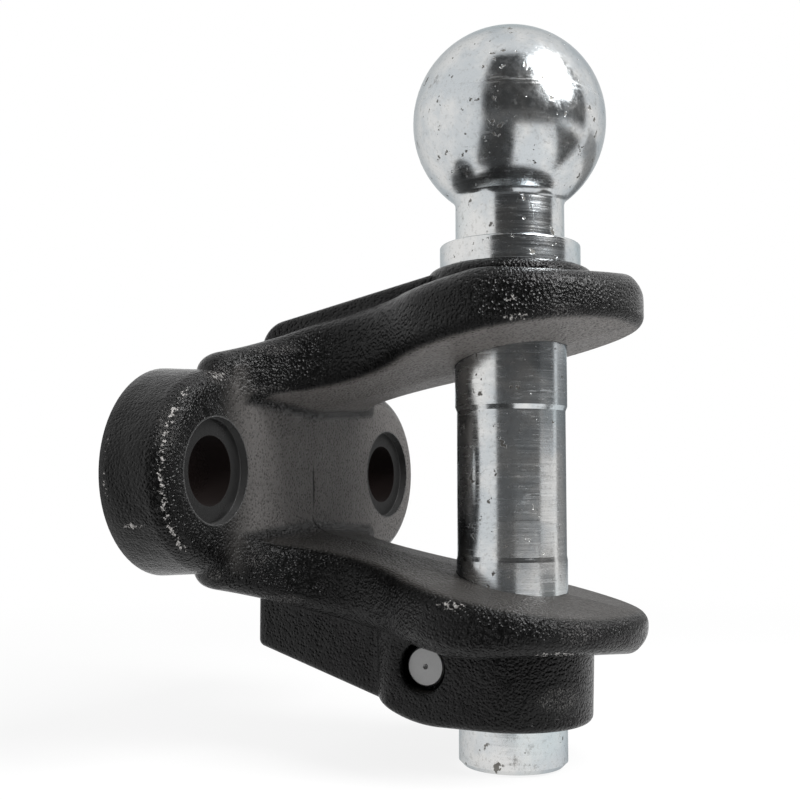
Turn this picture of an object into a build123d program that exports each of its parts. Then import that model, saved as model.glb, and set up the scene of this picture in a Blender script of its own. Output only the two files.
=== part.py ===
from build123d import *
from math import cos, radians, sin, tan
import os

os.makedirs("parts", exist_ok=True)

# Combination pin and ball hitch: a two-jaw drop forging on a two-bolt flange, with a lift-out
# ball pin that a spring-loaded cross plunger locks in the lower jaw.
# Millimetres. The mounting face is Y = 0, the jaws point to -Y and +Z is up.
# Heights are measured from the line of the two bolts.

# Mounting flange
bolt_spacing = 90.0
bolt_hole_diameter = 17.3
spot_face_diameter = 26.3
spot_face_depth = 2.2
flange_width = 134.0
flange_height = 52.4
flange_thickness = 18.0
flange_draft = 4.0
flange_rim_radius = 6.0

# Jaws
pin_reach = 77.0
eye_radius = 33.7
jaw_angle = 11.5
eye_angle = 6.0
upper_shoulder_angle = 19.0
lower_shoulder_angle = 13.0
upper_jaw_inner = 28.9
lower_jaw_inner = 27.5
upper_jaw_outer = 51.3
lower_jaw_outer = 47.4
upper_jaw_knee = -4.0
lower_jaw_knee = 2.0
jaw_knee_radius = 25.0
shoulder_knee = 48.0
shoulder_knee_radius = 60.0
inner_draft = 4.2
outer_draft = 7.0
shoulder_setback = 6.0
scallop_bite = 1.5
scallop_turn = 17.5
throat_corner_radius = 7.5
throat_bury = 1.0
outer_edge_radius = 5.0
inner_edge_radius = 3.5

# Ribs and bosses
rib_width = 31.0
rib_setback = 10.5
rib_edge_radius = 1.5
rib_root = 6.0
upper_rib_front = 12.0
upper_rib_rise = 1.6
upper_rib_corner = 8.0
lower_rib_step = 3.1
lower_rib_angle = 17.2
lower_rib_corner = 2.0
seat_rise = 0.1
seat_boss_radius = 21.3
seat_edge_radius = 2.5
lower_boss_radius = 19.9
lower_boss_back = 30.0
lower_boss_depth = 14.6
lower_boss_heel = 19.0
lower_boss_heel_rise = 5.5
lower_boss_heel_radius = 30.0
lower_boss_edge_radius = 2.0
lower_boss_corner_radius = 6.0
lower_boss_draft = 1.5

# Ball pin
ball_diameter = 50.0
ball_rise = 39.0
neck_diameter = 28.1
neck_fillet = 2.5
collar_diameter = 36.2
collar_height = 6.5
collar_edge = 0.6
upper_journal_diameter = 28.6
lower_journal_diameter = 28.1
waist_diameter = 27.7
waist_top = 15.2
waist_bottom = -21.1
waist_chamfer = 1.2
tail_diameter = 27.3
tail_length = 11.0
tail_chamfer = 1.2
pin_clearance = 0.1

# Locking plunger, its spring and its dowel
plunger_diameter = 9.8
plunger_lift = 14.3
plunger_engagement = 3.3
plunger_travel = 6.0
plunger_recess = 1.6
plunger_length = 27.0
plunger_chamfer = 0.4
plunger_clearance = 0.05
plunger_dimple_diameter = 1.4
release_clearance = 0.35
mouth_diameter = 12.4
mouth_depth = 6.0
bore_end_wall = 4.0
spring_diameter = 5.0
spring_wire = 0.8
spring_turns = 6
spring_pocket_clearance = 0.25
spring_pocket_depth = 6.0
spring_end_gap = 0.05
dowel_diameter = 3.0
dowel_bite = 1.7
dowel_place = -7.0
dowel_head_room = 2.0
notch_clearance = 0.15
dowel_chamfer = 0.3
groove_clearance = 0.2

# Sizes that follow
bolt_x = bolt_spacing / 2
throat_end = pin_reach - flange_thickness
throat_floor = throat_end + throat_bury
shoulder_back = pin_reach - shoulder_setback
rib_back = pin_reach - rib_setback
jaw_slope = tan(radians(jaw_angle))
eye_slope = tan(radians(eye_angle))
upper_shoulder_slope = tan(radians(upper_shoulder_angle))
lower_shoulder_slope = tan(radians(lower_shoulder_angle))
inner_rise = tan(radians(inner_draft))
outer_fall = tan(radians(outer_draft))
beyond = flange_width
seat_height = upper_jaw_outer + seat_rise
boss_bottom = -lower_jaw_outer - lower_boss_depth
upper_bore_radius = upper_journal_diameter / 2 + pin_clearance
lower_bore_radius = lower_journal_diameter / 2 + pin_clearance
plunger_radius = plunger_diameter / 2
plunger_bore_radius = plunger_radius + plunger_clearance
plunger_height = boss_bottom + plunger_lift
plunger_offset = lower_journal_diameter / 2 + plunger_radius - plunger_engagement
plunger_start = -lower_boss_radius + plunger_recess
plunger_end = plunger_start + plunger_length
bore_end = lower_boss_radius - bore_end_wall
dowel_offset = plunger_offset + plunger_radius - dowel_bite + dowel_diameter / 2
dowel_length = plunger_lift + plunger_radius + dowel_head_room
spring_start = plunger_end - spring_pocket_depth
spring_height = bore_end - spring_start - spring_wire - 2 * spring_end_gap
spring_pitch = spring_height / spring_turns
ball_height = seat_height + ball_rise
collar_top = seat_height + collar_height
pin_end = boss_bottom - tail_length
neck_radius = neck_diameter / 2
collar_radius = collar_diameter / 2
upper_journal_radius = upper_journal_diameter / 2
lower_journal_radius = lower_journal_diameter / 2
waist_radius = waist_diameter / 2
tail_radius = tail_diameter / 2

# Planes: the jaws' side view and plan, both from the pin axis, and the flange from its back face
jaw_side = Plane(origin=(0, -pin_reach, 0), x_dir=(0, 1, 0), z_dir=(1, 0, 0))
jaw_plan = Plane(origin=(0, -pin_reach, 0))
flange_back = Plane(origin=(0, 0, 0), x_dir=(1, 0, 0), z_dir=(0, -1, 0))
plunger_plane = jaw_side.shift_origin((0, -pin_reach + plunger_offset, plunger_height))
spring_plane = plunger_plane.offset(spring_start + spring_wire / 2 + spring_end_gap)
pin_section = Plane(origin=(0, -pin_reach, 0), x_dir=(1, 0, 0), z_dir=(0, -1, 0))
pin_axis = Axis((0, -pin_reach, 0), (0, 0, 1))

# The side of each jaw is three tangent arcs in plan: round the eye, a scallop that leaves room for
# a bolt head and runs into the flange's front face, and the round end of the shoulder.
scallop_crown = throat_end + scallop_bite
scallop_centre_y = (eye_radius + scallop_crown) / 2 - bolt_x**2 / (2 * (eye_radius + scallop_crown))
scallop_radius = scallop_crown - scallop_centre_y
eye_share = eye_radius / (eye_radius + scallop_radius)
eye_end = (bolt_x * eye_share, scallop_centre_y * eye_share)
turn_sin = sin(radians(scallop_turn))
turn_cos = cos(radians(scallop_turn))
scallop_end = (bolt_x - scallop_radius * turn_sin, scallop_centre_y + scallop_radius * turn_cos)
shoulder_radius = (shoulder_back - scallop_end[1]) / (1 + turn_cos)
shoulder_end = (scallop_end[0] - shoulder_radius * turn_sin, shoulder_back)


def half_jaw(inner, outer, knee, shoulder_slope):
    """The +X half of one jaw above the bolt line, with its draft and rounded edges."""
    bend = outer - jaw_slope * (shoulder_knee - knee)
    with BuildPart() as half:
        with BuildSketch(jaw_side):
            with BuildLine():
                FilletPolyline(
                    (-beyond, 0),
                    (-beyond, outer - eye_slope * (beyond + knee)),
                    (knee, outer),
                    (shoulder_knee, bend),
                    (shoulder_back, bend - shoulder_slope * (shoulder_back - shoulder_knee)),
                    (shoulder_back, 0),
                    radius=(0, 0, jaw_knee_radius, shoulder_knee_radius, 0, 0),
                    close=True,
                )
            make_face()
        extrude(amount=beyond, dir=(1, 0, -outer_fall))
        with BuildSketch(jaw_side):
            with BuildLine():
                FilletPolyline(
                    (-beyond, -beyond),
                    (-beyond, inner + jaw_slope * beyond),
                    (throat_floor, inner - jaw_slope * throat_floor),
                    (throat_floor, -beyond),
                    radius=(0, 0, throat_corner_radius, 0),
                    close=True,
                )
            make_face()
        extrude(amount=beyond, dir=(1, 0, inner_rise), mode=Mode.SUBTRACT)
        with BuildSketch(jaw_plan):
            with BuildLine():
                eye = ThreePointArc((0, -eye_radius), (eye_radius, 0), eye_end)
                scallop = RadiusArc(eye @ 1, scallop_end, scallop_radius)
                shoulder = TangentArc(scallop @ 1, shoulder_end, tangent=scallop % 1)
                Polyline(shoulder @ 1, (0, shoulder_back), (0, -eye_radius))
            make_face()
        extrude(amount=beyond, both=True, mode=Mode.INTERSECT)
        walls = half.faces().filter_by(GeomType.CYLINDER)
        rims = walls.edges().filter_by(lambda edge: abs(edge.tangent_at(0.5).Z) < 0.9)
        eye_rims = rims.filter_by(lambda edge: edge.center().Y < -pin_reach).sort_by(Axis.Z)
        fillet(eye_rims[-1], outer_edge_radius)
        fillet(half.edges().sort_by_distance(eye_rims[0].center())[0], inner_edge_radius)
    return half.part


def rib(front, crest, crest_slope, root, corner):
    """A rib on top of a jaw: its crest falls from the front to a square end above the flange."""
    with BuildPart() as blank:
        with BuildSketch(jaw_side):
            with BuildLine():
                FilletPolyline(
                    (front, root - jaw_slope * front),
                    (front, crest),
                    (rib_back, crest - crest_slope * (rib_back - front)),
                    (rib_back, root - jaw_slope * rib_back),
                    radius=(0, 0, corner, 0),
                    close=True,
                )
            make_face()
        extrude(amount=rib_width / 2, both=True)
        crown = blank.edges().filter_by(Axis.X, reverse=True).filter_by(
            lambda edge: edge.center().Z > root and abs(edge.tangent_at(0.5).Z) < 0.9
        )
        fillet(crown, rib_edge_radius)
    return blank.part


upper_half = half_jaw(upper_jaw_inner, upper_jaw_outer, upper_jaw_knee, upper_shoulder_slope)
lower_half = half_jaw(lower_jaw_inner, lower_jaw_outer, lower_jaw_knee, lower_shoulder_slope)
upper_rib = rib(
    upper_rib_front,
    upper_jaw_outer + upper_rib_rise - jaw_slope * upper_rib_front,
    jaw_slope,
    upper_jaw_inner + rib_root,
    upper_rib_corner,
)
lower_rib = rib(
    lower_boss_back - lower_boss_corner_radius,
    -boss_bottom - lower_rib_step,
    tan(radians(lower_rib_angle)),
    lower_jaw_inner + rib_root,
    lower_rib_corner,
)

# Lower boss: round in front, square behind the pin, where the locking plunger crosses it
with BuildPart() as lower_boss:
    with BuildSketch(jaw_plan.offset(boss_bottom)) as lower_boss_outline:
        Circle(lower_boss_radius)
        with Locations((0, lower_boss_back / 2)):
            Rectangle(2 * lower_boss_radius, lower_boss_back)
        fillet(lower_boss_outline.vertices().group_by(Axis.Y)[-1], lower_boss_corner_radius)
    extrude(amount=lower_boss_depth + lower_jaw_outer - lower_jaw_inner - rib_root, taper=-lower_boss_draft)
    with BuildSketch(jaw_side):
        with BuildLine():
            FilletPolyline(
                (-beyond, 0),
                (-beyond, boss_bottom),
                (lower_boss_heel, boss_bottom),
                (lower_boss_back, boss_bottom + lower_boss_heel_rise),
                (lower_boss_back, 0),
                radius=(0, 0, lower_boss_heel_radius, 0, 0),
                close=True,
            )
        make_face()
    extrude(amount=beyond, both=True, mode=Mode.INTERSECT)
    fillet(lower_boss.edges().group_by(Axis.Z)[0], lower_boss_edge_radius)

# Upper boss: the seat for the pin's collar
with BuildPart() as seat_boss:
    with BuildSketch(jaw_plan.offset(seat_height)):
        Circle(seat_boss_radius)
    extrude(amount=upper_jaw_inner + rib_root - seat_height)
    fillet(seat_boss.faces().sort_by(Axis.Z)[-1].edges(), seat_edge_radius)

# The forging: flange, jaws, ribs and bosses, then the machined holes
with BuildPart() as jaw_body:
    with BuildSketch(flange_back):
        SlotOverall(flange_width, flange_height)
    extrude(amount=flange_thickness, taper=flange_draft)
    fillet(jaw_body.faces().sort_by(Axis.Y)[0].edges(), flange_rim_radius)
    add(upper_half)
    add(mirror(lower_half, about=Plane.XY, mode=Mode.PRIVATE))
    mirror(about=Plane.YZ)
    add(upper_rib)
    add(mirror(lower_rib, about=Plane.XY, mode=Mode.PRIVATE))
    add(lower_boss.part)
    add(seat_boss.part)

    # Bolt holes with spot faces
    with BuildSketch(flange_back.offset(flange_thickness - spot_face_depth)):
        with GridLocations(bolt_spacing, 0, 2, 1):
            Circle(spot_face_diameter / 2)
    extrude(amount=flange_thickness, mode=Mode.SUBTRACT)
    with BuildSketch(flange_back):
        with GridLocations(bolt_spacing, 0, 2, 1):
            Circle(bolt_hole_diameter / 2)
    extrude(amount=flange_thickness, mode=Mode.SUBTRACT)

    # Pin bores
    with BuildSketch(jaw_plan):
        Circle(upper_bore_radius)
    extrude(amount=beyond, mode=Mode.SUBTRACT)
    with BuildSketch(jaw_plan):
        Circle(lower_bore_radius)
    extrude(amount=-beyond, mode=Mode.SUBTRACT)

    # Blind plunger bore with its open mouth, and the dowel hole from below
    with BuildSketch(plunger_plane.offset(bore_end)):
        Circle(plunger_bore_radius)
    extrude(amount=-lower_boss_radius - bore_end, mode=Mode.SUBTRACT)
    with BuildSketch(plunger_plane.offset(mouth_depth - lower_boss_radius)):
        Circle(mouth_diameter / 2)
    extrude(amount=-2 * mouth_depth, mode=Mode.SUBTRACT)
    with BuildSketch(jaw_plan.offset(boss_bottom)):
        with Locations((dowel_place, dowel_offset)):
            Circle(dowel_diameter / 2)
    extrude(amount=dowel_length, mode=Mode.SUBTRACT)
jaw_body.part.label = "jaw_body"
export_step(jaw_body.part, "parts/jaw_body.step")

# Ball pin, turned in one piece, with the groove that the plunger locks into
with BuildPart() as ball_pin:
    with BuildSketch(pin_section):
        with BuildLine():
            Polyline(
                (0, ball_height),
                (0, pin_end),
                (tail_radius - tail_chamfer, pin_end),
                (tail_radius, pin_end + tail_chamfer),
                (tail_radius, boss_bottom),
                (lower_journal_radius, boss_bottom + tail_chamfer),
                (lower_journal_radius, waist_bottom - waist_chamfer),
                (waist_radius, waist_bottom),
                (waist_radius, waist_top),
                (upper_journal_radius, waist_top + waist_chamfer),
                (upper_journal_radius, seat_height),
                (collar_radius, seat_height),
                (collar_radius, collar_top),
                (neck_radius, collar_top),
                (neck_radius, ball_height),
                (0, ball_height),
            )
        make_face()
        with Locations((plunger_offset, plunger_height)):
            Circle(plunger_radius + groove_clearance, mode=Mode.SUBTRACT)
    revolve(axis=pin_axis)
    with Locations((0, -pin_reach, ball_height)):
        Sphere(ball_diameter / 2)
    neck_top = ball_pin.edges().filter_by(GeomType.CIRCLE).filter_by(
        lambda edge: abs(edge.radius - neck_radius) < neck_fillet
        and edge.center().Z > collar_top + neck_fillet
    )
    fillet(neck_top, neck_fillet)
    collar_rims = ball_pin.edges().filter_by(GeomType.CIRCLE).filter_by(
        lambda edge: abs(edge.radius - collar_radius) < collar_edge
    )
    fillet(collar_rims, collar_edge)
ball_pin.part.label = "ball_pin"
export_step(ball_pin.part, "parts/ball_pin.step")

# Locking plunger: the scallop lets the pin through when the plunger is pressed in by its travel
with BuildPart() as locking_plunger:
    with BuildSketch(plunger_plane.offset(plunger_start)):
        Circle(plunger_radius)
    extrude(amount=plunger_length)
    chamfer(locking_plunger.edges(), plunger_chamfer)
    with BuildSketch(Plane(origin=(-plunger_travel, -pin_reach, boss_bottom))):
        Circle(lower_journal_radius + release_clearance)
    extrude(amount=2 * plunger_lift, mode=Mode.SUBTRACT)
    with BuildSketch(Plane(origin=(dowel_place, -pin_reach + dowel_offset, boss_bottom))):
        with Locations((-plunger_travel / 2, 0)):
            SlotCenterToCenter(plunger_travel, dowel_diameter + 2 * notch_clearance)
    extrude(amount=2 * plunger_lift, mode=Mode.SUBTRACT)
    with BuildSketch(plunger_plane.offset(plunger_end)):
        Circle(spring_diameter / 2 + spring_pocket_clearance)
    extrude(amount=-spring_pocket_depth, mode=Mode.SUBTRACT)
    with Locations(plunger_plane.offset(plunger_start)):
        Cone(plunger_dimple_diameter / 2, 0, plunger_dimple_diameter / 2, mode=Mode.SUBTRACT,
             align=(Align.CENTER, Align.CENTER, Align.MIN))
locking_plunger.part.label = "locking_plunger"
export_step(locking_plunger.part, "parts/locking_plunger.step")

# Plunger spring: square wire between the plunger's pocket and the end of the bore
with BuildPart() as plunger_spring:
    with BuildLine() as coil:
        Helix(
            pitch=spring_pitch,
            height=spring_height,
            radius=(spring_diameter - spring_wire) / 2,
            center=spring_plane.origin,
            direction=spring_plane.z_dir,
        )
    with BuildSketch(Plane(origin=coil.line @ 0, x_dir=spring_plane.z_dir, z_dir=coil.line % 0)):
        Rectangle(spring_wire, spring_wire)
    sweep(is_frenet=True)
plunger_spring.part.label = "plunger_spring"
export_step(plunger_spring.part, "parts/plunger_spring.step")

# Dowel that keeps the plunger in and stops it from turning
with BuildPart() as plunger_dowel:
    with BuildSketch(jaw_plan.offset(boss_bottom)):
        with Locations((dowel_place, dowel_offset)):
            Circle(dowel_diameter / 2)
    extrude(amount=dowel_length)
    chamfer(plunger_dowel.edges().filter_by(GeomType.CIRCLE), dowel_chamfer)
plunger_dowel.part.label = "plunger_dowel"
export_step(plunger_dowel.part, "parts/plunger_dowel.step")
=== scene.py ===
"""Looks of the combination pin ball hitch: camera, studio light and the finish of every piece."""

import math

import bpy
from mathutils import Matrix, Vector


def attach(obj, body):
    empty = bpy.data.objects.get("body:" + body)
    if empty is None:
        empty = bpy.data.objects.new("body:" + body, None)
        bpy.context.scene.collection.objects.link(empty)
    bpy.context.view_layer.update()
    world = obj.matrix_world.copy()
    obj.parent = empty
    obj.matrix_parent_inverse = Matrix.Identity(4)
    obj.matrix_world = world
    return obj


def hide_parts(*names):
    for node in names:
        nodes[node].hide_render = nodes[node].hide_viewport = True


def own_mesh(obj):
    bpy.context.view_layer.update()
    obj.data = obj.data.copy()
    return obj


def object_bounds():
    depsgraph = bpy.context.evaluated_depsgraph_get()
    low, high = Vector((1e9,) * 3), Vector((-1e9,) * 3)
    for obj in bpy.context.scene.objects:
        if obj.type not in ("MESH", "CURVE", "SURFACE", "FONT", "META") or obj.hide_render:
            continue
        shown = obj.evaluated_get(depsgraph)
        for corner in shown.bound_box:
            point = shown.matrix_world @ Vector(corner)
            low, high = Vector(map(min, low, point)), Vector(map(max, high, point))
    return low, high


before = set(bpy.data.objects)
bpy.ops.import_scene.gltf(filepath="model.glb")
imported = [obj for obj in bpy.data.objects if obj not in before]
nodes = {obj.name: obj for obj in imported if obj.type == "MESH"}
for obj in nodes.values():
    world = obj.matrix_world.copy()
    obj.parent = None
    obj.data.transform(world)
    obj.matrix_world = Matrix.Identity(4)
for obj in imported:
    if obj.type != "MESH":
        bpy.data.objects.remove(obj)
cad_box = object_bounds()

# Camera: image size and focal length in pixels, place in metres, direction in degrees
IMAGE_SIZE = 800
FOCAL_PIXELS = 1162.06
SENSOR_WIDTH = 36.0
CAMERA_PLACE = Vector((-0.27806, -0.18571, -0.00385))
CAMERA_AZIMUTH = -63.18
CAMERA_PITCH = 4.26
CLIP_START = 0.01

# Places on the forging, in metres, for the masks of its finish
BOLT_X = 0.045
BOLT_RADIUS = 0.00865
SPOT_RADIUS = 0.01315
FLANGE_FRONT = -0.018
FLANGE_MIDDLE = -0.009
FLANGE_RIM = -0.0161
SPOT_FLOOR = FLANGE_FRONT + 0.0003
PIN_Y = -0.077
EYE_BORE = 0.0146
MASK_ROOM = 0.00005

# Where a mask of the forging fades, from one end to the other, in metres
BOLT_BLEND = (0.0145, 0.017)
PIN_BLEND = (0.0225, 0.0245)
FRONT_SIDE = (-0.046, -0.026)
FRONT_DEPTH = (FLANGE_FRONT - 0.006, FLANGE_FRONT - 0.003)
FLANGE_WALL = (-0.0135, -0.0115)
RIM_SIDE = (-0.056, -0.050)

# Thin lines on the forging, from the middle to where they fade, and depth of its skin, in metres
PARTING_WIDTH = 0.0008
PARTING_WANDER = 0.003
RIM_WIDTH = 0.0016
# Half width of the highlight line painted round the rim of each spot face
EDGE_HIGHLIGHT_WIDTH = 0.0006
SKIN_DEPTH = 0.0005

# Places on the ball pin, and depth of its marks, in metres
BALL_CENTRE = 0.0904
BALL_RADIUS = 0.025
BALL_FOOT = (BALL_CENTRE - 0.020, BALL_CENTRE - 0.012)
CROWN = (BALL_CENTRE + 0.018, BALL_CENTRE + BALL_RADIUS)
STREAK_FADE = (BALL_CENTRE - 0.018, BALL_CENTRE)
SCRATCH_HEIGHT = BALL_CENTRE + 0.0035
SCRATCH_FADE = (0.0003, 0.002)
MARK_DEPTH = 0.00008

# Millimetres in a metre
MILLIMETRES = 1000

# Radius of the soft blends in the creases, and at the edges of machined places, in metres
BLEND_RADIUS = 0.003
SHARP_RADIUS = 0.0002

# Worn places on the forging, where glints are also painted: centre and radii of an ellipsoid, in millimetres
WORN_AND_GLINTS = (
    ((-65.5, -1.5, 0), (3, 1.6, 13)),
    ((-63, -7, -13), (3, 7, 1.4)),
    ((-33, -74.6, -31), (3, 7, 2)),
    ((-30, -90, 35), (6, 8, 1.8)),
    ((-31.4, -89.2, 39.4), (3, 3, 1.6)),
    ((-24, -97, -42), (10, 8, 1.6)),
    ((-42.5, -16, 23.7), (6, 3.5, 3.5)),
)

# Rubbed places, where the paint is rubbed down on the high spots of the skin and sheen is painted, in the
# same way
RUBBED_AND_SHEEN = (
    ((-43, -16, 23.7), (9, 5, 6)),
    ((-61.5, -15.6, 9), (6, 4, 13)),
    ((-29, -23, 31.3), (14, 11, 2.6)),
    ((-28, -23, 20.6), (14, 10, 2.4)),
    ((-31.5, -20.8, -21.8), (6, 6, 4)),
    ((-41.3, -14.1, -25.6), (4, 4, 3)),
    ((-25, -25, -32.5), (9, 9, 2.6)),
    ((-11.6, -93.4, -54), (12, 10, 5)),
    ((-19, -98, -37), (12, 12, 8)),
    ((-20, -96, 36), (14, 14, 5)),
)

# Where the line between the forging dies shows, in the same way
PARTING = (
    ((-1, -18, -4), (4, 4, 8)),
    ((0, -20, -15), (4, 4, 4)),
    ((0, -101, -29), (4, 14, 6)),
)

# Studio: light of the world on matt surfaces, and sizes in metres
WORLD_FILL = 0.35
FLOOR_SIZE = 12
FLOOR_GAP = 0.0005
MAT_HEIGHT = -0.0725

# Dark cards and mats: corners, in metres right of the pin, towards the camera and up, and shade of grey
CARDS = {
    "front_card": (((-0.40, 0.55, 0.08), (0.85, 0.55, 0.08), (0.85, 0.55, 1.6), (-0.40, 0.55, 1.6)), 0.055),
    "low_card": (((-0.40, 0.55, -0.07), (0.80, 0.55, -0.07), (0.85, 0.55, 0.08), (-0.40, 0.55, 0.08)), 0.14),
    "side_card": (((0.85, 0.55, 0.04), (0.85, -0.05, 0.04), (0.85, -0.05, 1.2), (0.85, 0.55, 1.2)), 0.10),
    "back_card": (((0.55, -0.12, -0.07), (0.20, -0.75, -0.07), (0.20, -0.75, 0.10),
                   (0.55, -0.12, 0.10)), 0.35),
    "left_mat": (((-0.12, 0.06, MAT_HEIGHT), (0.0, 0.06, MAT_HEIGHT), (0.02, 0.55, MAT_HEIGHT),
                  (-0.40, 0.55, MAT_HEIGHT)), 0.06),
    "right_mat": (((0.14, 0.02, MAT_HEIGHT), (0.85, -0.05, MAT_HEIGHT), (0.85, 0.55, MAT_HEIGHT),
                   (0.60, 0.50, MAT_HEIGHT)), 0.12),
}


def level_direction(angle):
    """Level direction from the object, in degrees to the right of the camera as the picture shows it."""
    turn = math.radians(CAMERA_AZIMUTH + angle)
    return Vector((math.sin(turn), -math.cos(turn), 0))


def set_camera():
    data = bpy.data.cameras.new("camera")
    data.sensor_width = SENSOR_WIDTH
    data.lens = SENSOR_WIDTH * FOCAL_PIXELS / IMAGE_SIZE
    data.clip_start = CLIP_START
    camera = bpy.data.objects.new("camera", data)
    pitch = math.radians(CAMERA_PITCH)
    forward = Vector((0, 0, math.sin(pitch))) - level_direction(0) * math.cos(pitch)
    camera.rotation_euler = forward.to_track_quat("-Z", "Y").to_euler()
    camera.location = CAMERA_PLACE
    bpy.context.scene.collection.objects.link(camera)
    bpy.context.scene.camera = camera


def colour(red, green=None, blue=None):
    """A colour, or a grey where only one value is given."""
    return (red, red if green is None else green, red if blue is None else blue, 1)


class Tree:
    """Short calls for building one shader tree."""

    def __init__(self, owner):
        self.owner = owner
        owner.use_nodes = True
        self.tree = owner.node_tree
        self.tree.nodes.clear()

    def add(self, kind, sockets=(), **settings):
        node = self.tree.nodes.new("ShaderNode" + kind)
        for name, value in settings.items():
            setattr(node, name, value)
        for name, value in dict(sockets).items():
            self.put(node.inputs[name], value)
        return node

    def put(self, socket, value):
        if isinstance(value, bpy.types.NodeSocket):
            self.tree.links.new(value, socket)
        else:
            socket.default_value = value

    def place(self):
        """Where a point lies in the axes of its own object."""
        return self.add("TexCoord").outputs["Object"]

    def split(self, vector):
        axes = self.add("SeparateXYZ", {"Vector": vector}).outputs
        return axes["X"], axes["Y"], axes["Z"]

    def math(self, operation, *values):
        return self.add("Math", enumerate(values), operation=operation).outputs[0]

    def joined(self, operation, values):
        total = values[0]
        for value in values[1:]:
            total = self.math(operation, total, value)
        return total

    def any_of(self, *masks):
        return self.joined("MAXIMUM", masks)

    def all_of(self, *factors):
        return self.joined("MULTIPLY", factors)

    def total(self, *terms):
        return self.joined("ADD", terms)

    def gap(self, value, middle):
        """How far value is from middle."""
        return self.math("ABSOLUTE", self.math("SUBTRACT", value, middle))

    def away(self, a, b):
        """Distance from an axis, from the two offsets across it."""
        return self.math("SQRT", self.total(self.math("POWER", a, 2.0), self.math("POWER", b, 2.0)))

    def mix(self, factor, a, b):
        node = self.add("Mix", data_type="RGBA")
        for socket, value in ((0, factor), (6, a), (7, b)):
            self.put(node.inputs[socket], value)
        return node.outputs[2]

    def ramp(self, value, low, high, to_low=0.0, to_high=1.0):
        """Maps value from [low, high] to [to_low, to_high], smoothly and clamped."""
        names = ("Value", "From Min", "From Max", "To Min", "To Max")
        sockets = zip(names, (value, low, high, to_low, to_high))
        return self.add("MapRange", sockets, interpolation_type="SMOOTHSTEP").outputs["Result"]

    def noise(self, vector, scale, detail=2.0, roughness=0.5):
        sockets = {"Vector": vector, "Scale": scale, "Detail": detail, "Roughness": roughness}
        return self.add("TexNoise", sockets).outputs["Fac"]

    def stretched(self, vector, scale):
        return self.add("VectorMath", ((0, vector), (1, scale)), operation="MULTIPLY").outputs[0]

    def length(self, vector):
        return self.add("VectorMath", ((0, vector),), operation="LENGTH").outputs["Value"]

    def blobs(self, place, ellipsoids):
        """1 in the middle of any of the ellipsoids, in millimetres, falling to 0 at their surfaces."""
        masks = []
        for centre, radii in ellipsoids:
            metres = [c / MILLIMETRES for c in centre]
            shift = self.add("VectorMath", ((0, place), (1, metres)), operation="SUBTRACT").outputs[0]
            unit = self.stretched(shift, [MILLIMETRES / r for r in radii])
            masks.append(self.ramp(self.length(unit), 0.3, 1.0, 1.0, 0.0))
        return self.any_of(*masks)

    def seen_white(self):
        """1 for what is seen straight, in a mirror or through glass, 0 for all other light."""
        path = self.add("LightPath").outputs
        return self.any_of(path["Is Camera Ray"], path["Is Glossy Ray"], path["Is Transmission Ray"])

    def glow(self, shade):
        return self.add("Emission", {"Color": colour(shade), "Strength": 1.0}).outputs[0]

    def surface(self, shader):
        self.add("OutputMaterial", {"Surface": shader})
        return self.owner

    def principled(self, sockets):
        return self.surface(self.add("BsdfPrincipled", sockets).outputs[0])


def new_tree(name, kind=Tree):
    return kind(bpy.data.materials.new(name))


def set_world():
    world = bpy.data.worlds.new("studio")
    bpy.context.scene.world = world
    tree = Tree(world)
    strength = tree.ramp(tree.seen_white(), 0, 1, WORLD_FILL, 1.0)
    back = tree.add("Background", {"Color": colour(1), "Strength": strength})
    tree.add("OutputWorld", {"Surface": back.outputs[0]})


def set_floor():
    """A pale floor that keeps a faint shadow near the object and is white further off."""
    bpy.ops.mesh.primitive_plane_add(size=FLOOR_SIZE, location=(0, PIN_Y, cad_box[0].z - FLOOR_GAP))
    floor = bpy.context.object
    floor.name = "floor"
    tree = new_tree("floor")
    whiter = tree.ramp(tree.length(tree.place()), 0.1, 0.5, 0.85, 1.0)
    share = tree.all_of(tree.seen_white(), whiter)
    matt = tree.add("BsdfDiffuse", {"Color": colour(0.9)})
    mixed = tree.add("MixShader", ((0, share), (1, matt.outputs[0]), (2, tree.glow(1))))
    floor.data.materials.append(tree.surface(mixed.outputs[0]))


def softbox(name, angle, rise, distance, size, radiance, mirrored=True):
    """A rectangular lamp at that level angle and rise, in degrees, aimed at the pin between the jaws."""
    data = bpy.data.lights.new(name, "AREA")
    data.shape = "RECTANGLE"
    data.size, data.size_y = size
    data.energy = radiance * math.pi * size[0] * size[1]
    lamp = bpy.data.objects.new(name, data)
    lamp.visible_glossy = mirrored
    lift = math.radians(rise)
    back = level_direction(angle) * math.cos(lift) + Vector((0, 0, math.sin(lift)))
    lamp.location = Vector((0, PIN_Y, 0)) + back * distance
    lamp.rotation_euler = (-back).to_track_quat("-Z", "Y").to_euler()
    bpy.context.scene.collection.objects.link(lamp)


def dark_card(name, corners, shade):
    """A dark card that only mirrors see, so bright metal shows it as a dark band."""
    right, near = level_direction(90), level_direction(0)
    base = Vector((0, PIN_Y, 0))
    points = [base + right * a + near * b + Vector((0, 0, c)) for a, b, c in corners]
    mesh = bpy.data.meshes.new(name)
    mesh.from_pydata(points, [], [range(len(points))])
    card = bpy.data.objects.new(name, mesh)
    card.visible_camera = card.visible_diffuse = card.visible_shadow = False
    bpy.context.scene.collection.objects.link(card)
    tree = new_tree(name)
    mesh.materials.append(tree.surface(tree.glow(shade)))


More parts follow.
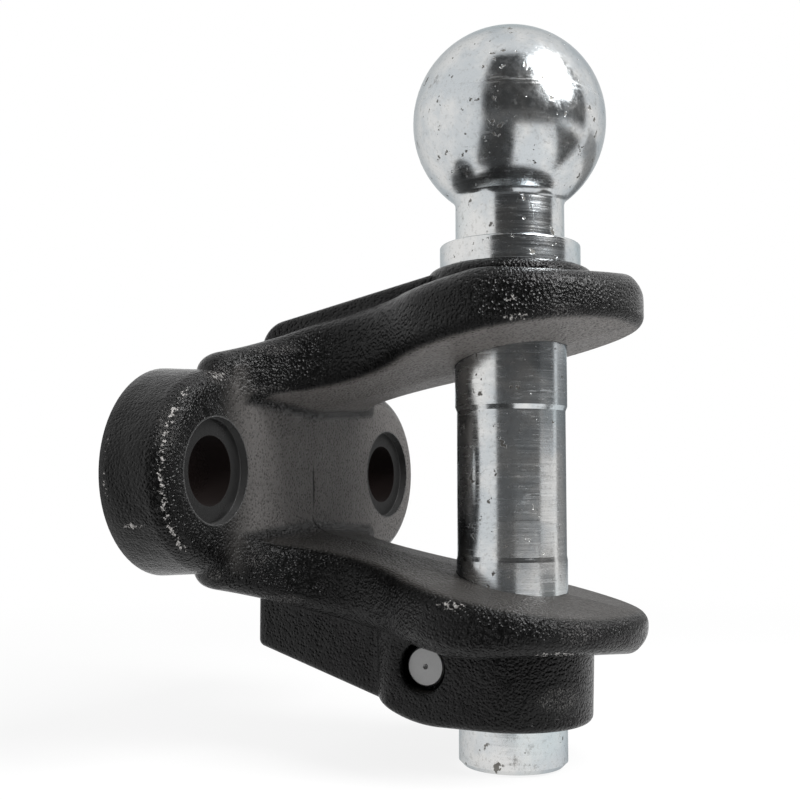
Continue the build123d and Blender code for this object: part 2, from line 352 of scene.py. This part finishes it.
class ForgedPaint(Tree):
    """Black paint on a forged skin: dull inside the jaws, smooth in the spot faces, with wear in places, and
    with painted sheen, glints, highlights and shade.
    """

    def __init__(self, owner):
        super().__init__(owner)
        self.point = self.place()
        self.x, self.y, self.z = self.split(self.point)
        self.mark_machined()
        self.soften_creases()
        self.mark_dull()
        self.mark_rubbed()
        self.mark_parting()
        self.mark_pits()

    def mark_machined(self):
        """Masks of the bolt holes, their spot faces and the pin's bores."""
        self.from_bolt = self.away(self.math("SUBTRACT", self.math("ABSOLUTE", self.x), BOLT_X), self.z)
        self.from_pin = self.away(self.math("SUBTRACT", self.y, PIN_Y), self.x)
        self.front_half = self.math("LESS_THAN", self.y, FLANGE_MIDDLE)
        sunk = self.math("GREATER_THAN", self.y, SPOT_FLOOR)
        inside = self.math("LESS_THAN", self.from_bolt, SPOT_RADIUS + MASK_ROOM)
        self.spot = self.all_of(inside, sunk, self.front_half)
        self.bore = self.math("LESS_THAN", self.from_bolt, BOLT_RADIUS + MASK_ROOM)
        self.machined = self.any_of(self.spot, self.math("LESS_THAN", self.from_pin, EYE_BORE))
        self.forged = self.math("SUBTRACT", 1.0, self.machined)

    def soften_creases(self):
        """The normal with soft blends in the creases, apart from the edges of the machined places."""
        near_bolt = self.ramp(self.from_bolt, *BOLT_BLEND, 1.0, 0.0)
        near_pin = self.ramp(self.from_pin, *PIN_BLEND, 1.0, 0.0)
        sharp = self.any_of(self.machined, near_bolt, near_pin)
        radius = self.ramp(sharp, 0, 1, BLEND_RADIUS, SHARP_RADIUS)
        self.rounded = self.add("Bevel", {"Radius": radius}, samples=6).outputs[0]

    def mark_dull(self):
        """Masks of the dull faces: the insides of the jaws and the front of the flange."""
        _, facing_y, facing_z = self.split(self.rounded)
        inward = self.all_of(facing_z, self.math("SIGN", self.z), -1.0)
        self.front = self.all_of(
            self.ramp(facing_y, -0.99, -0.85, 1.0, 0.0),
            self.ramp(self.x, *FRONT_SIDE),
            self.ramp(self.y, *FRONT_DEPTH),
        )
        self.dull = self.any_of(self.ramp(inward, 0.75, 0.97), self.front)

    def mark_rubbed(self):
        """Mask of the rubbed places, where sheen is also painted, and the small high spots all over the
        skin.
        """
        self.rubs_and_sheen = self.blobs(self.point, RUBBED_AND_SHEEN)
        self.high = self.noise(self.point, 2200.0, 3.0, 0.6)

    def mark_parting(self):
        """Mask of the wandering line where the dies met."""
        wander = self.all_of(self.math("SUBTRACT", self.noise(self.point, 60.0), 0.5), PARTING_WANDER)
        off_line = self.math("ABSOLUTE", self.total(self.x, wander))
        on_line = self.ramp(off_line, 0.0, PARTING_WIDTH, 1.0, 0.0)
        self.parting = self.all_of(on_line, self.blobs(self.point, PARTING))

    def mark_pits(self):
        """Coarse pits, round dimples and broad swells of the skin."""
        self.coarse = self.noise(self.point, 900.0)
        self.broad = self.noise(self.point, 70.0)
        cells = self.add("TexVoronoi", {"Vector": self.point, "Scale": 1150.0}, feature="F1")
        self.dimples = self.ramp(cells.outputs["Distance"], 0.1, 0.6)

    def skin(self):
        """The normal of the uneven skin."""
        wall = self.ramp(self.y, *FLANGE_WALL)
        pits = self.all_of(self.total(self.coarse, self.dimples), self.ramp(wall, 0, 1, 0.42, 0.2))
        height = self.total(
            pits,
            self.all_of(self.noise(self.point, 1900.0), 0.5),
            self.all_of(self.high, self.rubs_and_sheen, 0.8),
            self.all_of(self.broad, 3.0),
            self.all_of(self.parting, -1.2),
        )
        sockets = {"Height": self.all_of(height, self.forged), "Distance": SKIN_DEPTH, "Strength": 1.0}
        return self.add("Bump", {**sockets, "Normal": self.rounded}).outputs[0]

    def bare_and_glints(self):
        """Mask of pale flecks: chips of unpainted metal and painted glints on the flange's rim and knocked
        edges, and paint rubbed down on rubbed places, with painted sheen there.
        """
        on_rim = self.ramp(self.gap(self.y, FLANGE_RIM), 0.0, RIM_WIDTH, 1.0, 0.0)
        rim = self.all_of(on_rim, self.ramp(self.x, *RIM_SIDE, 1.0, 0.0))
        # The rim and the places of wear also carry painted glints, so the flecks here are partly chips and
        # partly painted glints.
        worn_and_glints = self.any_of(rim, self.blobs(self.point, WORN_AND_GLINTS))
        flecks = self.noise(self.point, 1100.0, 4.0, 0.7)
        limit = self.math("SUBTRACT", 0.80, self.all_of(worn_and_glints, 0.28))
        chips_and_glints = self.ramp(self.math("SUBTRACT", flecks, limit), 0.0, 0.04)
        # High spots on the rubbed places are painted pale, partly for rubbed-down paint and partly as
        # painted sheen.
        over = self.math("SUBTRACT", self.high, self.ramp(self.rubs_and_sheen, 0, 1, 0.75, 0.50))
        thin_paint_and_sheen = self.all_of(self.ramp(over, 0.0, 0.12), 0.2)
        return self.all_of(self.any_of(chips_and_glints, thin_paint_and_sheen), self.forged)

    def tone(self):
        """Black; the dull faces paler, partly their own grey and partly painted sheen, the top jaw's painted
        lighter still as light from the floor; spot faces with a painted highlight round their rim, bores
        painted dark as shade in the holes, and pale flecks of unpainted metal and painted glints.
        """
        # The dull faces are paler, partly their own grey and partly painted sheen; those of the top jaw are
        # painted lighter still, as light thrown up from the floor.
        lit_from_floor = self.ramp(self.z, -0.01, 0.02)
        pale = self.mix(lit_from_floor, colour(0.03, 0.028, 0.026), colour(0.13, 0.122, 0.116))
        pale = self.mix(self.front, pale, colour(0.1, 0.095, 0.092))
        pale = self.mix(self.ramp(self.dimples, 0.05, 0.7), colour(0.045, 0.042, 0.04), pale)
        # A highlight line is painted round the rim of each spot face.
        on_edge_highlight = self.ramp(self.gap(self.from_bolt, SPOT_RADIUS), 0.0, EDGE_HIGHLIGHT_WIDTH, 1.0, 0.0)
        edge_highlight = self.all_of(on_edge_highlight, self.front_half)
        tone = self.mix(self.broad, colour(0.001), colour(0.002))
        layers = (
            (self.dull, pale),
            (self.spot, colour(0.012)),
            (edge_highlight, colour(0.05)),
            # The bores are painted near-black, as the shade inside the holes.
            (self.bore, colour(0.005, 0.002, 0.0015)),
            (self.parting, colour(0.004)),
            # Pale flecks: chips of unpainted metal, and glints and sheen painted on the places of wear and
            # rubbing.
            (self.bare_and_glints(), colour(0.30, 0.29, 0.28)),
        )
        for mask, shade in layers:
            tone = self.mix(mask, tone, shade)
        return tone

    def roughness(self):
        """Satin, duller on the dull faces, glossier where it is rubbed and matt in the bores."""
        satin = self.ramp(self.coarse, 0.3, 0.7, 0.16, 0.25)
        gloss = self.total(satin, self.all_of(self.dull, 0.3), self.all_of(self.rubs_and_sheen, -0.05))
        return self.any_of(gloss, self.bore)


def forged_paint():
    paint = new_tree("forged_paint", ForgedPaint)
    return paint.principled({
        "Base Color": paint.tone(), "Roughness": paint.roughness(), "Specular IOR Level": 0.22,
        "Normal": paint.skin(),
    })


def zinc_plate():
    """Bright zinc on turned steel: fine rings, faint tints, small pits, scratches and dark stains."""
    tree = new_tree("zinc_plate")
    place = tree.place()
    height = tree.split(place)[2]
    rings = tree.noise(tree.stretched(place, (30, 30, 2500)), 1.0, 3.0, 0.6)

    # Tints: paler and greyer patches, cool places and a teal crown
    patches = tree.ramp(tree.noise(place, 60.0, 4.0, 0.65), 0.38, 0.62)
    cool = tree.ramp(tree.noise(place, 28.0), 0.5, 0.65, 0.0, 0.6)
    crown = tree.ramp(height, *CROWN, 0.0, 0.7)
    tone = tree.mix(patches, colour(0.54, 0.57, 0.59), colour(0.70, 0.70, 0.69))
    tone = tree.mix(cool, tone, colour(0.48, 0.58, 0.61))
    tone = tree.mix(crown, tone, colour(0.34, 0.50, 0.52))

    # Small marks: grain all over, scattered pits and dark stains
    grain = tree.ramp(tree.noise(place, 1100.0, 3.0, 0.65), 0.34, 0.46, 0.72, 1.0)
    pits = tree.ramp(tree.noise(place, 330.0, 3.0, 0.6), 0.655, 0.69)
    grime = tree.ramp(tree.noise(place, 150.0, 6.0, 0.75), 0.60, 0.70)
    marks = tree.any_of(pits, tree.all_of(grime, 0.6))
    tone = tree.mix(grain, colour(0.30, 0.29, 0.27), tone)
    tone = tree.mix(tree.all_of(marks, 0.85), tone, colour(0.12, 0.11, 0.095))

    # Streaks round the axis, fainter above the ball's middle, and a scratched line on the ball
    streaks = tree.ramp(tree.noise(tree.stretched(place, (220, 220, 1500)), 1.0, 4.0, 0.65), 0.55, 0.7)
    streaks = tree.all_of(streaks, tree.ramp(height, *STREAK_FADE, 1.0, 0.3))
    near_line = tree.ramp(tree.gap(height, SCRATCH_HEIGHT), *SCRATCH_FADE, 1.0, 0.0)
    scratches = tree.ramp(tree.noise(tree.stretched(place, (160, 160, 1400)), 1.0, 3.0, 0.6), 0.45, 0.6)
    brushed = tree.any_of(streaks, tree.all_of(near_line, scratches))

    # Texture: turned rings on the pin and the neck, an even mottle on the ball
    on_ball = tree.ramp(height, *BALL_FOOT)
    texture = tree.mix(on_ball, rings, tree.noise(place, 420.0, 4.0, 0.7))
    satin = tree.ramp(texture, 0.3, 0.7, 0.14, 0.24)
    gloss = tree.total(satin, tree.all_of(marks, 0.3), tree.all_of(brushed, 0.12))
    dents = tree.math("SUBTRACT", tree.all_of(texture, 0.12), pits)
    bump = tree.add("Bump", {"Height": dents, "Distance": MARK_DEPTH, "Strength": 0.6})
    return tree.principled({
        "Base Color": tone, "Metallic": 1.0, "Roughness": gloss, "Normal": bump.outputs[0],
        "Specular Tint": colour(0.55, 0.58, 0.60),
    })


def matt_steel(name, tone, roughness):
    """Plain steel with a fine grain."""
    tree = new_tree(name)
    grain = tree.noise(tree.place(), 1500.0, 3.0, 0.6)
    shade = tree.mix(grain, colour(tone * 0.85), colour(tone))
    return tree.principled({"Base Color": shade, "Metallic": 1.0, "Roughness": roughness})


def dress(piece, material):
    piece.data.materials.clear()
    piece.data.materials.append(material)


def shortening_spring():
    """A copy of the spring with its own mesh, fixed to the hitch body, shown in place of the hidden
    original.
    """
    coil = bpy.data.objects.new("spring_coil", nodes["plunger_spring"].data.copy())
    bpy.context.scene.collection.objects.link(coil)
    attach(coil, "hitch")
    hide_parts("plunger_spring")
    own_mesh(coil)
    return coil


bpy.context.scene.view_settings.view_transform = "Standard"
set_camera()
set_world()
set_floor()
softbox("left_softbox", -75, 35, 0.8, (0.16, 0.5), 7.0, mirrored=False)
softbox("right_softbox", 55, 46, 0.5, (0.22, 0.34), 19.0)
for name, (corners, shade) in CARDS.items():
    dark_card(name, corners, shade)

dress(nodes["jaw_body"], forged_paint())
dress(nodes["ball_pin"], zinc_plate())
dress(nodes["locking_plunger"], matt_steel("plunger_steel", 0.36, 0.5))
dress(nodes["plunger_dowel"], matt_steel("dowel_steel", 0.5, 0.3))
spring_steel = matt_steel("spring_steel", 0.35, 0.3)
dress(nodes["plunger_spring"], spring_steel)
dress(shortening_spring(), spring_steel)
